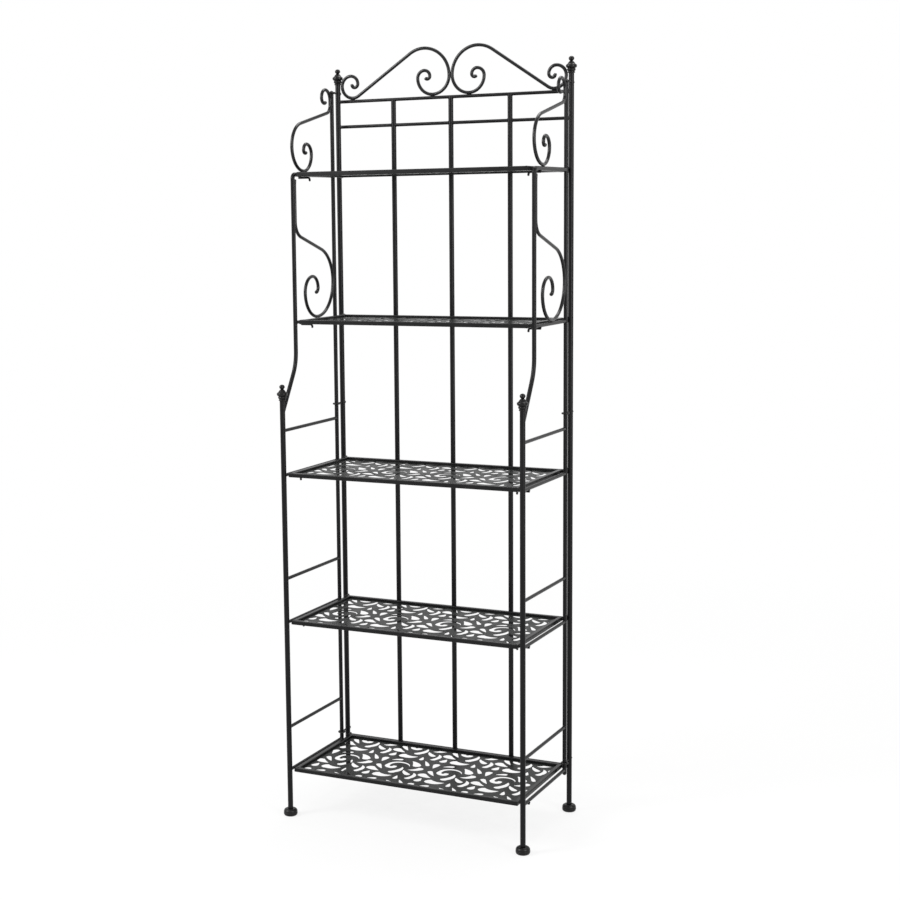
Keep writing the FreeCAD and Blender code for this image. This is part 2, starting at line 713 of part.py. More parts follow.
for shelf in shelfLevels:
    tag = shelf.title()
    front = shelfFrontY(shelf)
    lowZ = f"{shelfZ(shelf)} - shelfTube / 2"

    ring = shelfRing("FrameRing" + tag, front, lowZ, "0")
    doc.recompute()
    rounded = doc.addObject("Part::Fillet", "FrameRounded" + tag)
    rounded.Base = ring
    longEdges = [index for index, edge in enumerate(ring.Shape.Edges, 1) if abs(edge.tangentAt(0).z) < 0.5]
    rounded.Edges = [(index, size["tubeRound"], size["tubeRound"]) for index in longEdges]
    hollow = shelfRing("FrameHollow" + tag, front, lowZ, "shelfWall")

    pins = []
    pinLength = "(shelfTube + lugGap + lugThickness + pinTail)"
    pinStart = f"({shelfHalf} - shelfTube)"
    for side in sides:
        x = pinStart if side == "right" else f"-{pinStart} - {pinLength}"
        pins.append(rod("PivotPin" + tag + side.title(), "pivotPinDiameter / 2", pinLength, x, pivotY,
                        shelfZ(shelf), "x"))
    node(trimmed("ShelfFrame" + tag, rounded, [hollow, *pins]), f"{shelf}_shelf_frame")
    node(grouped("PivotPins" + tag, pins), f"{shelf}_shelf_pivot_pins")

    sheetZ = f"{shelfZ(shelf)} + shelfTube / 2 - sheetDrop - sheetThickness"
    plate = block("SheetPlate" + tag, front, sheetZ, "shelfTube", "sheetThickness")
    doc.recompute()
    frontEdge = plate.Placement.Base.y - size["shelfTube"]
    faces = piercing(shelfWide, shelfRear - frontEdge)
    punches = Part.makeCompound([face.extrude(Vector(0, 0, 3 * size["sheetThickness"])) for face in faces])
    punches.translate(Vector(-shelfWide / 2, frontEdge, plate.Placement.Base.z - size["sheetThickness"]))
    punch = shaped("Piercing" + tag, punches)
    node(trimmed("ShelfSheet" + tag, plate, [punch]), f"{shelf}_shelf_sheet")

# ---- check and export ----

doc.recompute()
for item in doc.Objects:
    if "Invalid" in item.State or "Error" in item.State:
        raise RuntimeError(f"{item.Name} failed: {item.State}")
for item in nodes:
    if item.Shape.isNull() or not item.Shape.isValid() or not item.Shape.Solids:
        raise RuntimeError(f"{item.Label} has no valid solid")

os.makedirs("parts", exist_ok=True)
for item in nodes:
    item.Shape.exportStep(f"parts/{item.Label}.step")
    print(item.Label, len(item.Shape.Solids), "solids,", round(item.Shape.Volume), "mm3")
print(len(nodes), "nodes")
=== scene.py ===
import math

import bmesh
import bpy
from mathutils import Euler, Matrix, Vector


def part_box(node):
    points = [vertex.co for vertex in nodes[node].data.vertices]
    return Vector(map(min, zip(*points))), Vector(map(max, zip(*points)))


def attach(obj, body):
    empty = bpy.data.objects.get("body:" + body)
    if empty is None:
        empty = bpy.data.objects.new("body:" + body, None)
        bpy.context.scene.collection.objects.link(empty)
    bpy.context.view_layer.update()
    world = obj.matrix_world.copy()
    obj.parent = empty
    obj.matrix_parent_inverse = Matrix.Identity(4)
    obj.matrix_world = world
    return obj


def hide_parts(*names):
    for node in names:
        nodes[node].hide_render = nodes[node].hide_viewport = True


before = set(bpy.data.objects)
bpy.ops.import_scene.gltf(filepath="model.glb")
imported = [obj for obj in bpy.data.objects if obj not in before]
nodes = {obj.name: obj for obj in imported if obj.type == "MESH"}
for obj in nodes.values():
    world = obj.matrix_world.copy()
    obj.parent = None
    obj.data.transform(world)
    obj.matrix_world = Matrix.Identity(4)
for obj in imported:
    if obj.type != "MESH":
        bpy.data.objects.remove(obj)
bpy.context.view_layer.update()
mm = 0.001
sides = {"left": -1, "right": 1}
sideBody = {"left": "left_side_frame", "right": "right_side_frame"}
shelves = ("top", "upper", "middle", "lower", "bottom")
print("frame loaded with", len(nodes), "nodes")


# places of the rods, read off the CAD nodes in metres

def lowest(node):
    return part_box(node)[0]


def highest(node):
    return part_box(node)[1]


def middle(node):
    return (lowest(node) + highest(node)) / 2


postRadius = 6.35 * mm
barRadius = 6 * mm
rodRadius = 5 * mm
railRadius = 4 * mm
wireRadius = 2.25 * mm
restGap = 0.3 * mm
pegRadius = 2.5 * mm

postX = middle("front_foot_right").x
frontY = middle("front_foot_right").y
backY = middle("back_foot_right").y
hingeY = middle("hinge_post_right").y
uprightY = lowest("lower_scroll_right").y - rodRadius
crestZ = middle("crest_rail").z
secondZ = middle("second_rail").z
topRailZ = highest("upper_rod_right").z - rodRadius
railZ = {shelf: lowest(f"{shelf}_shelf_frame").z - restGap + railRadius for shelf in shelves}
railZ["top"] = topRailZ
rungRise = lowest("rungs_right").z + railRadius - railZ["bottom"]
eyeOffset = {"aboveRail": 17 * mm, "aboveRung": 36 * mm, "belowEnd": 5.5 * mm}
eyeZ = (
    railZ["bottom"] + eyeOffset["aboveRail"], railZ["middle"] + rungRise + eyeOffset["aboveRung"],
    highest("hinge_post_right").z - eyeOffset["belowEnd"],
)
pivotY = middle("top_shelf_pivot_pins").y


# helpers for nodes, meshes and pieces

def addNode(tree, kind, inputs=None, **settings):
    # an input takes a value, a socket, or a list of sockets where it joins several
    made = tree.nodes.new(kind)
    for name, value in settings.items():
        setattr(made, name, value)
    for key, value in (inputs or {}).items():
        if not isinstance(value, (list, bpy.types.NodeSocket)):
            made.inputs[key].default_value = value
            continue
        for socket in value if isinstance(value, list) else [value]:
            tree.links.new(socket, made.inputs[key])
    return made


def geo(tree, kind, inputs=None, **settings):
    # the first output of a new geometry node
    return addNode(tree, "GeometryNode" + kind, inputs, **settings).outputs[0]


def maths(tree, operation, first, second=0.0, third=0.0):
    return addNode(tree, "ShaderNodeMath", {0: first, 1: second, 2: third}, operation=operation).outputs[0]


def vectorMaths(tree, operation, first, second):
    return addNode(tree, "ShaderNodeVectorMath", {0: first, 1: second}, operation=operation).outputs[0]


def vector(tree, x=0.0, y=0.0, z=0.0):
    return addNode(tree, "ShaderNodeCombineXYZ", {"X": x, "Y": y, "Z": z}).outputs[0]


def linkObject(name, data):
    piece = bpy.data.objects.new(name, data)
    bpy.context.scene.collection.objects.link(piece)
    return piece


def tidied(work, name, smoothAngle=40):
    # merges doubles, points the faces outwards and keeps creases sharper than the angle
    bmesh.ops.remove_doubles(work, verts=work.verts, dist=1e-6)
    bmesh.ops.dissolve_degenerate(work, edges=work.edges, dist=1e-7)
    bmesh.ops.recalc_face_normals(work, faces=work.faces)
    for face in work.faces:
        face.smooth = True
    for edge in work.edges:
        edge.smooth = not (edge.is_manifold and edge.calc_face_angle(0) > math.radians(smoothAngle))
    mesh = bpy.data.meshes.new(name)
    work.to_mesh(mesh)
    work.free()
    return linkObject(name, mesh)


def finish(piece, body, slot, *replaced):
    piece.data.materials.clear()
    piece.data.materials.append(slotPaint[slot])
    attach(piece, body)
    if replaced:
        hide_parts(*replaced)


def curveOf(name, lines, closed=False):
    data = bpy.data.curves.new(name, "CURVE")
    data.dimensions = "3D"
    for line in lines:
        spline = data.splines.new("POLY")
        spline.points.add(len(line) - 1)
        for point, place in zip(spline.points, line):
            point.co = (*place, 1)
        spline.use_cyclic_u = closed
    return linkObject(name + "Source", data)


def pointsOf(name, places):
    mesh = bpy.data.meshes.new(name)
    mesh.from_pydata(places, [], [])
    return linkObject(name + "Source", mesh)


def grow(name, source, tree, slot, values, smoothAngle=40):
    # runs a geometry node tree on the source and keeps what it makes as a plain mesh object
    modifier = source.modifiers.new("Shape", "NODES")
    modifier.node_group = tree
    values = {**values, "material": slotPaint[slot]}
    for item in tree.interface.items_tree:
        if item.item_type == "SOCKET" and item.in_out == "INPUT" and item.name in values:
            modifier[item.identifier] = values[item.name]
    graph = bpy.context.evaluated_depsgraph_get()
    mesh = bpy.data.meshes.new_from_object(source.evaluated_get(graph))
    source.modifiers.remove(modifier)
    bpy.data.objects.remove(source)
    work = bmesh.new()
    work.from_mesh(mesh)
    bpy.data.meshes.remove(mesh)
    return tidied(work, name, smoothAngle)


socketKinds = {float: "NodeSocketFloat", int: "NodeSocketInt", tuple: "NodeSocketVector"}


def newTree(name, sizes):
    # a tree that takes the source, the named sizes and the material
    tree = bpy.data.node_groups.new(name, "GeometryNodeTree")
    tree.interface.new_socket("Geometry", in_out="INPUT", socket_type="NodeSocketGeometry")
    tree.interface.new_socket("Geometry", in_out="OUTPUT", socket_type="NodeSocketGeometry")
    for label, value in sizes.items():
        socket = tree.interface.new_socket(label, in_out="INPUT", socket_type=socketKinds[type(value)])
        socket.default_value = value
    tree.interface.new_socket("material", in_out="INPUT", socket_type="NodeSocketMaterial")
    return tree, addNode(tree, "NodeGroupInput").outputs


def closeTree(tree, given, geometry):
    real = geo(tree, "RealizeInstances", {"Geometry": geometry})
    painted = geo(tree, "SetMaterial", {"Geometry": real, "Material": given["material"]})
    addNode(tree, "NodeGroupOutput", {0: painted})
    return tree


# Finishes. Colours are linear, grain and wave are repeats per metre, depths are in metres.
finishes = {
    "framePowderCoat": {
        "colour": (0.0032, 0.0031, 0.0035), "fade": (0.0058, 0.0056, 0.0062),
        "rough": 0.3, "roughSpread": 0.12, "specular": 0.17,
        "grain": 1500, "grainDepth": 0.000018, "wave": 90, "waveDepth": 0.00005,
    },
    "scrollEnamel": {
        "colour": (0.0028, 0.0028, 0.0031), "fade": (0.0056, 0.0058, 0.0062),
        "rough": 0.17, "roughSpread": 0.12, "specular": 0.3,
        "grain": 1100, "grainDepth": 0.00002, "wave": 160, "waveDepth": 0.00018,
    },
    "finialEnamel": {
        "colour": (0.0030, 0.0028, 0.0030), "fade": (0.0064, 0.0060, 0.0060),
        "rough": 0.26, "roughSpread": 0.12, "specular": 0.22,
        "grain": 900, "grainDepth": 0.00007, "wave": 260, "waveDepth": 0.00018,
    },
    "shelfFrameCoat": {
        "colour": (0.0034, 0.0034, 0.0036), "fade": (0.0060, 0.0061, 0.0063),
        "rough": 0.32, "roughSpread": 0.12, "specular": 0.18,
        "grain": 1500, "grainDepth": 0.000018, "wave": 70, "waveDepth": 0.00005,
    },
    "sheetCoat": {
        "colour": (0.0034, 0.0042, 0.0038), "fade": (0.0068, 0.0080, 0.0072),
        "rough": 0.38, "roughSpread": 0.2, "specular": 0.12,
        "grain": 1700, "grainDepth": 0.00003, "wave": 40, "waveDepth": 0.00016,
    },
    "hardwareCoat": {
        "colour": (0.0034, 0.0033, 0.0034), "fade": (0.0090, 0.0086, 0.0082),
        "rough": 0.29, "roughSpread": 0.14, "specular": 0.22,
        "grain": 1300, "grainDepth": 0.00003, "wave": 300, "waveDepth": 0.00004,
    },
    "footPlastic": {
        "colour": (0.0034, 0.0032, 0.0034), "fade": (0.0066, 0.0063, 0.0063),
        "rough": 0.36, "roughSpread": 0.12, "specular": 0.22,
        "grain": 2200, "grainDepth": 0.00004, "wave": 120, "waveDepth": 0.00004,
    },
}
# the same mottling in every finish: broad clouds and fine specks, in repeats per metre
mottling = {
    "cloud": 14.0, "cloudShare": 0.7, "speck": 420.0, "speckShare": 0.3,
    "colourSpan": (0.36, 0.66), "roughSpan": (0.3, 0.7),
}


def blackFinish(name, look):
    material = bpy.data.materials.new(name)
    material.use_nodes = True
    tree = material.node_tree
    tree.nodes.clear()
    place = addNode(tree, "ShaderNodeTexCoord").outputs["Object"]
    cloud = addNode(tree, "ShaderNodeTexNoise", {
        "Vector": place, "Scale": mottling["cloud"], "Detail": 4.0, "Roughness": 0.6}).outputs["Fac"]
    speck = addNode(tree, "ShaderNodeTexNoise", {
        "Vector": place, "Scale": mottling["speck"], "Detail": 3.0, "Roughness": 0.7}).outputs["Fac"]
    specks = maths(tree, "MULTIPLY", speck, mottling["speckShare"])
    tone = maths(tree, "MULTIPLY_ADD", cloud, mottling["cloudShare"], specks)
    low, high = mottling["colourSpan"]
    spread = addNode(tree, "ShaderNodeMapRange", {"Value": tone, "From Min": low, "From Max": high})
    colour = addNode(tree, "ShaderNodeMix", {"Factor": spread.outputs[0]}, data_type="RGBA")
    colour.inputs["A"].default_value = (*look["colour"], 1)
    colour.inputs["B"].default_value = (*look["fade"], 1)
    low, high = mottling["roughSpan"]
    rough = addNode(tree, "ShaderNodeMapRange", {
        "Value": tone, "From Min": low, "From Max": high,
        "To Min": look["rough"] - look["roughSpread"] / 2, "To Max": look["rough"] + look["roughSpread"] / 2})
    wave = addNode(tree, "ShaderNodeTexNoise", {"Vector": place, "Scale": look["wave"], "Detail": 2.0})
    grain = addNode(tree, "ShaderNodeTexNoise", {"Vector": place, "Scale": look["grain"], "Detail": 2.0})
    waveBump = addNode(tree, "ShaderNodeBump", {"Height": wave.outputs["Fac"], "Distance": look["waveDepth"]})
    grainBump = addNode(tree, "ShaderNodeBump", {
        "Height": grain.outputs["Fac"], "Distance": look["grainDepth"], "Normal": waveBump.outputs[0]})
    shader = addNode(tree, "ShaderNodeBsdfPrincipled", {
        "Base Color": colour.outputs["Result"], "Roughness": rough.outputs[0],
        "Specular IOR Level": look["specular"], "Normal": grainBump.outputs[0]})
    addNode(tree, "ShaderNodeOutputMaterial", {0: shader.outputs[0]})
    return material


paints = {name: blackFinish(name, look) for name, look in finishes.items()}
slotPaint = {
    "frame_paint": paints["framePowderCoat"],
    "scroll_paint": paints["scrollEnamel"],
    "finial_paint": paints["finialEnamel"],
    "shelf_frame_paint": paints["shelfFrameCoat"],
    "shelf_sheet_paint": paints["sheetCoat"],
    "hardware_paint": paints["hardwareCoat"],
    "foot_plastic": paints["footPlastic"],
}
for node in nodes.values():
    for holder in node.material_slots:
        holder.material = slotPaint[holder.material.name.split(".")[0]]
print("finishes made:", len(paints))


# Geometry node trees that several pieces share

def sweptRound(tree, curve, radius, facets):
    # a round section along the curve, with its radius at each point
    ring = geo(tree, "CurvePrimitiveCircle", {"Resolution": facets, "Radius": 1.0})
    return geo(tree, "CurveToMesh", {
        "Curve": curve, "Profile Curve": ring, "Scale": radius, "Fill Caps": True})


def layAlongY(tree, given, geometry):
    # turns a piece from Z to Y and puts one at each point
    turned = geo(tree, "Transform", {"Geometry": geometry, "Rotation": (math.pi / 2, 0, 0)})
    return geo(tree, "InstanceOnPoints", {"Points": given["Geometry"], "Instance": turned})


def buildBarTree():
    # a round bar along each curve, with rounded and slightly swollen ends
    tree, given = newTree("bentBar", {
        "radius": 0.004, "sides": 16, "step": 0.002, "tipSwell": 0.1, "tipLength": 0.012, "unevenness": 0.02})
    even = geo(tree, "ResampleCurve", {"Curve": given["Geometry"], "Length": given["step"]}, mode="LENGTH")
    along = addNode(tree, "GeometryNodeSplineParameter").outputs["Length"]
    total = addNode(tree, "GeometryNodeSplineLength").outputs["Length"]
    fromEnd = maths(tree, "MINIMUM", along, maths(tree, "SUBTRACT", total, along))
    largest = maths(tree, "ADD", given["tipSwell"], 1.0)
    swell = addNode(tree, "ShaderNodeMapRange", {
        "Value": fromEnd, "From Max": given["tipLength"], "To Min": largest, "To Max": 1.0},
        interpolation_type="SMOOTHSTEP").outputs[0]
    toDome = addNode(tree, "ShaderNodeMapRange", {
        "Value": fromEnd, "From Max": given["radius"], "To Min": 1.0, "To Max": 0.0}).outputs[0]
    dome = maths(tree, "SQRT", maths(tree, "SUBTRACT", 1.0, maths(tree, "MULTIPLY", toDome, toDome)))
    noise = addNode(tree, "ShaderNodeTexNoise", {"Scale": 45.0, "Detail": 2.0}).outputs["Fac"]
    wobble = maths(tree, "MULTIPLY_ADD", maths(tree, "SUBTRACT", noise, 0.5), given["unevenness"], 1.0)
    thick = maths(tree, "MULTIPLY", maths(tree, "MULTIPLY", given["radius"], wobble),
                  maths(tree, "MULTIPLY", swell, dome))
    return closeTree(tree, given, sweptRound(tree, even, thick, given["sides"]))


def buildWeldTree():
    # a rippled weld bead along each curve; open runs taper out at both ends
    tree, given = newTree("weldBead", {
        "bead": 0.001, "ripple": 0.18, "pitch": 0.0022, "wander": 0.0003, "step": 0.0008})
    even = geo(tree, "ResampleCurve", {"Curve": given["Geometry"], "Length": given["step"]}, mode="LENGTH")
    spot = addNode(tree, "GeometryNodeSplineParameter").outputs
    arch = maths(tree, "SINE", maths(tree, "MULTIPLY", spot["Factor"], math.pi))
    taper = maths(tree, "POWER", maths(tree, "MAXIMUM", arch, 0.0), 0.5)
    taper = maths(tree, "MAXIMUM", taper, geo(tree, "InputSplineCyclic"))
    turns = maths(tree, "MULTIPLY", maths(tree, "DIVIDE", spot["Length"], given["pitch"]), 2 * math.pi)
    ripple = maths(tree, "MULTIPLY_ADD", maths(tree, "SINE", turns), given["ripple"], 1.0)
    noise = addNode(tree, "ShaderNodeTexNoise", {"Scale": 260.0, "Detail": 2.0}).outputs["Color"]
    centred = vectorMaths(tree, "SUBTRACT", noise, (0.5, 0.5, 0.5))
    drift = vectorMaths(tree, "MULTIPLY", centred, vector(tree, *[given["wander"]] * 3))
    moved = geo(tree, "SetPosition", {"Geometry": even, "Offset": drift})
    thick = maths(tree, "MULTIPLY", given["bead"], maths(tree, "MULTIPLY", taper, ripple))
    return closeTree(tree, given, sweptRound(tree, moved, thick, facets=8))


barTree = buildBarTree()
weldTree = buildWeldTree()


def bentBars(name, lines, look, slot):
    return grow(name, curveOf(name, lines), barTree, slot, look)


# paths as in the workshop's bend lists: ("straight", length) or ("bend", radius, degrees to the left)
bendStep = {"degrees": 4, "fewest": 3}


def bentPath(heading, bends):
    x, y, angle = 0.0, 0.0, math.radians(heading)
    points = [(x, y)]
    for kind, *values in bends:
        if kind == "straight":
            x += values[0] * math.cos(angle)
            y += values[0] * math.sin(angle)
            points.append((x, y))
            continue
        radius, sweep = values[0], math.radians(values[1])
        turn = math.copysign(1, sweep)
        centreX = x - turn * radius * math.sin(angle)
        centreY = y + turn * radius * math.cos(angle)
        count = max(bendStep["fewest"], round(abs(values[1]) / bendStep["degrees"]))
        for step in range(1, count + 1):
            swept = angle + sweep * step / count
            points.append((centreX + turn * radius * math.sin(swept),
                           centreY - turn * radius * math.cos(swept)))
        x, y = points[-1]
        angle += sweep
    return points


def seated(points, low, right=None, left=None):
    across = [point[0] for point in points]
    shiftX = right - max(across) if right is not None else left - min(across)
    shiftY = low - min(point[1] for point in points)
    return [(x + shiftX, y + shiftY) for x, y in points]


def scaledBends(bends, factor):
    return [(kind, values[0] * factor, *values[1:]) for kind, *values in bends]


def inMetres(bends):
    return scaledBends(bends, mm)


# Crest: two scrolls that lean on each other, each rolled from one bar
crest = {
    "archRadius": 66 * mm, "lobeRadius": 43.5 * mm,
    "spiral": [("bend", 39, 90), ("bend", 18, 90), ("bend", 14, 90), ("bend", 6.5, 160)],
    "curl": [("bend", 29, 90), ("bend", 24, 90), ("bend", 19, 90), ("bend", 9, 90), ("bend", 6.5, 120)],
    "curlRadius": 29 * mm, "collarRadius": 8.5 * mm,
}
scrollLook = {
    "radius": railRadius, "sides": 18, "step": 0.002, "tipSwell": 0.16, "tipLength": 0.016,
    "unevenness": 0.05,
}


def crestPath():
    archX = railRadius + crest["archRadius"]
    curlX = postX - crest["collarRadius"] - railRadius - crest["curlRadius"]
    bendSum = crest["archRadius"] + crest["curlRadius"]
    run = curlX - archX
    rise = crest["archRadius"] + crest["lobeRadius"] - bendSum
    slope = math.sqrt(run ** 2 + rise ** 2 - bendSum ** 2)
    angle = math.degrees(math.atan2(bendSum, slope) + math.atan2(rise, run))
    outward = [("bend", crest["archRadius"], -angle), ("straight", slope),
               ("bend", crest["curlRadius"], angle)]
    inward = [("bend", crest["archRadius"], 90), ("bend", crest["lobeRadius"], 90)]
    outside = bentPath(0, outward + inMetres(crest["curl"]))
    inside = bentPath(180, inward + inMetres(crest["spiral"]))
    return seated(inside[:0:-1] + outside, low=crestZ + 2 * railRadius, left=railRadius)


crestFlat = crestPath()
for side, sign in sides.items():
    line = [(sign * x, backY, z) for x, z in crestFlat]
    piece = bentBars(f"crestScroll_{side}", [line], scrollLook, "scroll_paint")
    finish(piece, "back_frame", "scroll_paint", f"crest_scroll_{side}")
print("crest scrolls done")

# Side scrolls. The window is the height that the bend list was drawn for.
upperScroll = {
    "window": 191.5 * mm,
    "down": [("bend", 22, -77.5), ("straight", 138), ("bend", 57, 77.5), ("bend", 56, 90), ("bend", 40, 90),
             ("bend", 24, 90), ("bend", 14.5, 90), ("bend", 7, 150)],
    "up": [("straight", 10), ("bend", 24, 90), ("bend", 19.5, 90), ("bend", 13, 90), ("bend", 8, 70)],
}
lowerScroll = {
    "window": 326 * mm, "shoulder": 38 * mm, "hip": 82 * mm, "sweepAngle": 73, "strandGap": 1 * mm,
    "cornerRadius": 9 * mm,
    "belly": [("bend", 84, -90), ("bend", 60, -90), ("bend", 38, -90), ("bend", 28, -90), ("bend", 11, -100)],
}
rearTouch = hingeY - rodRadius - railRadius
frontTouch = uprightY + rodRadius + railRadius
topSeat = topRailZ + rodRadius + railRadius
upperSeat = railZ["upper"] + 2 * railRadius


def upperScrollPath():
    factor = (eyeZ[2] - topSeat) / upperScroll["window"] * mm
    down = bentPath(-90, scaledBends(upperScroll["down"], factor))
    up = bentPath(90, scaledBends(upperScroll["up"], factor))
    return seated(up[:0:-1] + down, low=topSeat, right=rearTouch)


def lowerScrollPath():
    window = topRailZ - lowerScroll["cornerRadius"] - lowerScroll["strandGap"] - upperSeat
    factor = min(1, window / lowerScroll["window"])
    shoulder, hip = lowerScroll["shoulder"] * factor, lowerScroll["hip"] * factor
    belly = scaledBends(lowerScroll["belly"], factor * mm)
    angle = math.radians(lowerScroll["sweepAngle"])
    sweep = (rearTouch - frontTouch - (shoulder + hip) * (1 - math.cos(angle))) / math.sin(angle)
    strand = window - belly[0][1] - (shoulder + hip) * math.sin(angle) - sweep * math.cos(angle)
    bends = [("straight", strand), ("bend", shoulder, lowerScroll["sweepAngle"]), ("straight", sweep)]
    bends += [("bend", hip, -lowerScroll["sweepAngle"]), *belly]
    return seated(bentPath(-90, bends), low=upperSeat, right=rearTouch)


upperFlat = upperScrollPath()
lowerFlat = lowerScrollPath()
for side, sign in sides.items():
    for label, flat in (("upper", upperFlat), ("lower", lowerFlat)):
        line = [(sign * postX, y, z) for y, z in flat]
        piece = bentBars(f"{label}Scroll_{side}", [line], scrollLook, "scroll_paint")
        finish(piece, sideBody[side], "scroll_paint", f"{label}_scroll_{side}")
print("side scrolls done")

# Hinge posts: plain rods with rounded ends
hingeLook = {
    "radius": rodRadius, "sides": 20, "step": 0.0016, "tipSwell": 0.0, "tipLength": 0.01, "unevenness": 0.0,
}
for side, sign in sides.items():
    node = f"hinge_post_{side}"
    low, high, tip = lowest(node).z, highest(node).z, hingeLook["tipLength"]
    line = [(sign * postX, hingeY, z) for z in (low, low + tip, high - tip, high)]
    piece = bentBars(f"hingePost_{side}", [line], hingeLook, "frame_paint")
    finish(piece, sideBody[side], "frame_paint", node)

# Shelf pegs: wire across the side frame, its inboard end bent down
peg = {"setback": 35 * mm, "outboard": 4, "reach": 22, "bend": 5, "drop": 4}
pegLook = {
    "radius": pegRadius, "sides": 14, "step": 0.0008, "tipSwell": 0.05, "tipLength": 0.006,
    "unevenness": 0.04,
}


def pegLine(side, shelf):
    upright = uprightY if shelf in ("top", "upper") else frontY
    straight = ("straight", peg["outboard"] + peg["reach"])
    flat = bentPath(0, inMetres([straight, ("bend", peg["bend"], -90), ("straight", peg["drop"])]))
    z = lowest(f"{shelf}_shelf_frame").z - restGap - pegRadius
    y = upright + peg["setback"]
    start = postX + peg["outboard"] * mm
    return [(sides[side] * (start - x), y, z + down) for x, down in flat]


for side in sides:
    piece = bentBars(f"shelfPegs_{side}", [pegLine(side, shelf) for shelf in shelves], pegLook, "frame_paint")
    finish(piece, sideBody[side], "frame_paint", f"shelf_pegs_{side}")

# Eye bolts: the ring is bent round the hinge post and ends beside its own shank
eyeBolt = {"ringRadius": 7.35 * mm, "ringSteps": 60, "mouth": 16, "tail": 7 * mm}
thread = {"length": 6.6 * mm, "pitch": 0.8 * mm, "ridge": 0.3 * mm, "coreRadius": 1.9 * mm}
eyeLook = {
    "radius": wireRadius, "sides": 14, "step": 0.0007, "tipSwell": 0.0, "tipLength": 0.004,
    "unevenness": 0.05,
}
# a ball trims the nut's corners, its radii as shares of the nut's own corners and height
nut = {"corners": 4.62 * mm, "height": 4 * mm, "ballWidth": 1.06, "ballHeight": 0.84}
shankEnd = backY + postRadius + eyeBolt["tail"]


def eyeLines(side, z):
    x, radius = sides[side] * postX, eyeBolt["ringRadius"]
    mouth, steps = eyeBolt["mouth"], eyeBolt["ringSteps"]
    ring = []
    for step in range(steps + 1):
        angle = math.radians(90 + mouth + (360 - 2 * mouth) * step / steps)
        ring.append((x + radius * math.cos(angle), hingeY + radius * math.sin(angle), z))
    start = hingeY + radius - wireRadius / 2
    stop = shankEnd - thread["length"]
    return [ring, [(x, start, z), (x, (start + stop) / 2, z), (x, stop, z)]]


for side in sides:
    lines = [line for z in eyeZ for line in eyeLines(side, z)]
    piece = bentBars(f"eyeBolts_{side}", lines, eyeLook, "hardware_paint")
    finish(piece, "back_frame", "hardware_paint", f"hinge_eye_bolts_{side}")


def buildThreadTree():
    # a threaded end at each point, along Y
    tree, given = newTree("threadedEnds", thread)
    core, length = given["coreRadius"], given["length"]
    rod = geo(tree, "MeshCylinder", {"Vertices": 20, "Radius": core, "Depth": length})
    helix = geo(tree, "CurveSpiral", {
        "Resolution": 18, "Rotations": maths(tree, "DIVIDE", length, given["pitch"]),
        "Start Radius": core, "End Radius": core, "Height": length})
    winding = sweptRound(tree, helix, given["ridge"], facets=4)
    drop = vector(tree, z=maths(tree, "MULTIPLY", length, -0.5))
    lowered = geo(tree, "Transform", {"Geometry": winding, "Translation": drop})
    both = geo(tree, "JoinGeometry", {0: [rod, lowered]})
    return closeTree(tree, given, layAlongY(tree, given, both))


def buildNutTree():
    # a chamfered hexagon nut at each point, its axis along Y and its flats level
    tree, given = newTree("hexNuts", nut)
    blank = geo(tree, "MeshCylinder", {"Vertices": 6, "Radius": given["corners"], "Depth": given["height"]})
    ball = geo(tree, "MeshUVSphere", {"Segments": 48, "Rings": 24, "Radius": 1.0})
    wide = maths(tree, "MULTIPLY", given["corners"], given["ballWidth"])
    tall = maths(tree, "MULTIPLY", given["height"], given["ballHeight"])
    cutter = geo(tree, "Transform", {"Geometry": ball, "Scale": vector(tree, wide, wide, tall)})
    shaped = geo(tree, "MeshBoolean", {"Mesh 2": [blank, cutter]}, operation="INTERSECT", solver="EXACT")
    return closeTree(tree, given, layAlongY(tree, given, shaped))


threadTree = buildThreadTree()
nutTree = buildNutTree()
threadY = shankEnd - thread["length"] / 2
nutY = backY + postRadius + nut["height"] / 2
for side, sign in sides.items():
    for label, tree, sizes, y, smoothAngle, replaced in (
            ("threadEnds", threadTree, thread, threadY, 30, []),
            ("hexNuts", nutTree, nut, nutY, 25, [f"hinge_nuts_{side}"])):
        name = f"{label}_{side}"
        source = pointsOf(name, [(sign * postX, y, z) for z in eyeZ])
        piece = grow(name, source, tree, "hardware_paint", sizes, smoothAngle)
        finish(piece, "back_frame", "hardware_paint", *replaced)
print("hinge posts, pegs, eye bolts and nuts done")


# Turned pieces: finials, feet and pins

def softened(profile, reach, steps=4):
    # rounds the inner corners of a profile by up to the reach
    points = [profile[0]]
    for before, corner, after in zip(profile, profile[1:], profile[2:]):
        before, corner, after = Vector(before), Vector(corner), Vector(after)
        start = corner + (before - corner) * min(0.5, reach / max((before - corner).length, 1e-9))
        stop = corner + (after - corner) * min(0.5, reach / max((after - corner).length, 1e-9))
        for step in range(steps + 1):
            share = step / steps
            points.append(tuple(start.lerp(corner, share).lerp(corner.lerp(stop, share), share)))
    points.append(profile[-1])
    return points


def turnInto(work, profile, place, steps, axis=(0, 0, 1)):
    # turns a profile of radius and height, in millimetres, about an axis through the place
    aim = Vector((0, 0, 1)).rotation_difference(Vector(axis)).to_matrix()
    made = [work.verts.new((radius * mm, 0, height * mm)) for radius, height in profile]
    edges = [work.edges.new(pair) for pair in zip(made, made[1:])]
    before = set(work.verts) - set(made)
    bmesh.ops.spin(work, geom=made + edges, cent=(0, 0, 0), axis=(0, 0, 1), angle=2 * math.pi, steps=steps,
                   use_merge=True)
    for vert in work.verts:
        if vert not in before:
            vert.co = aim @ vert.co + Vector(place)


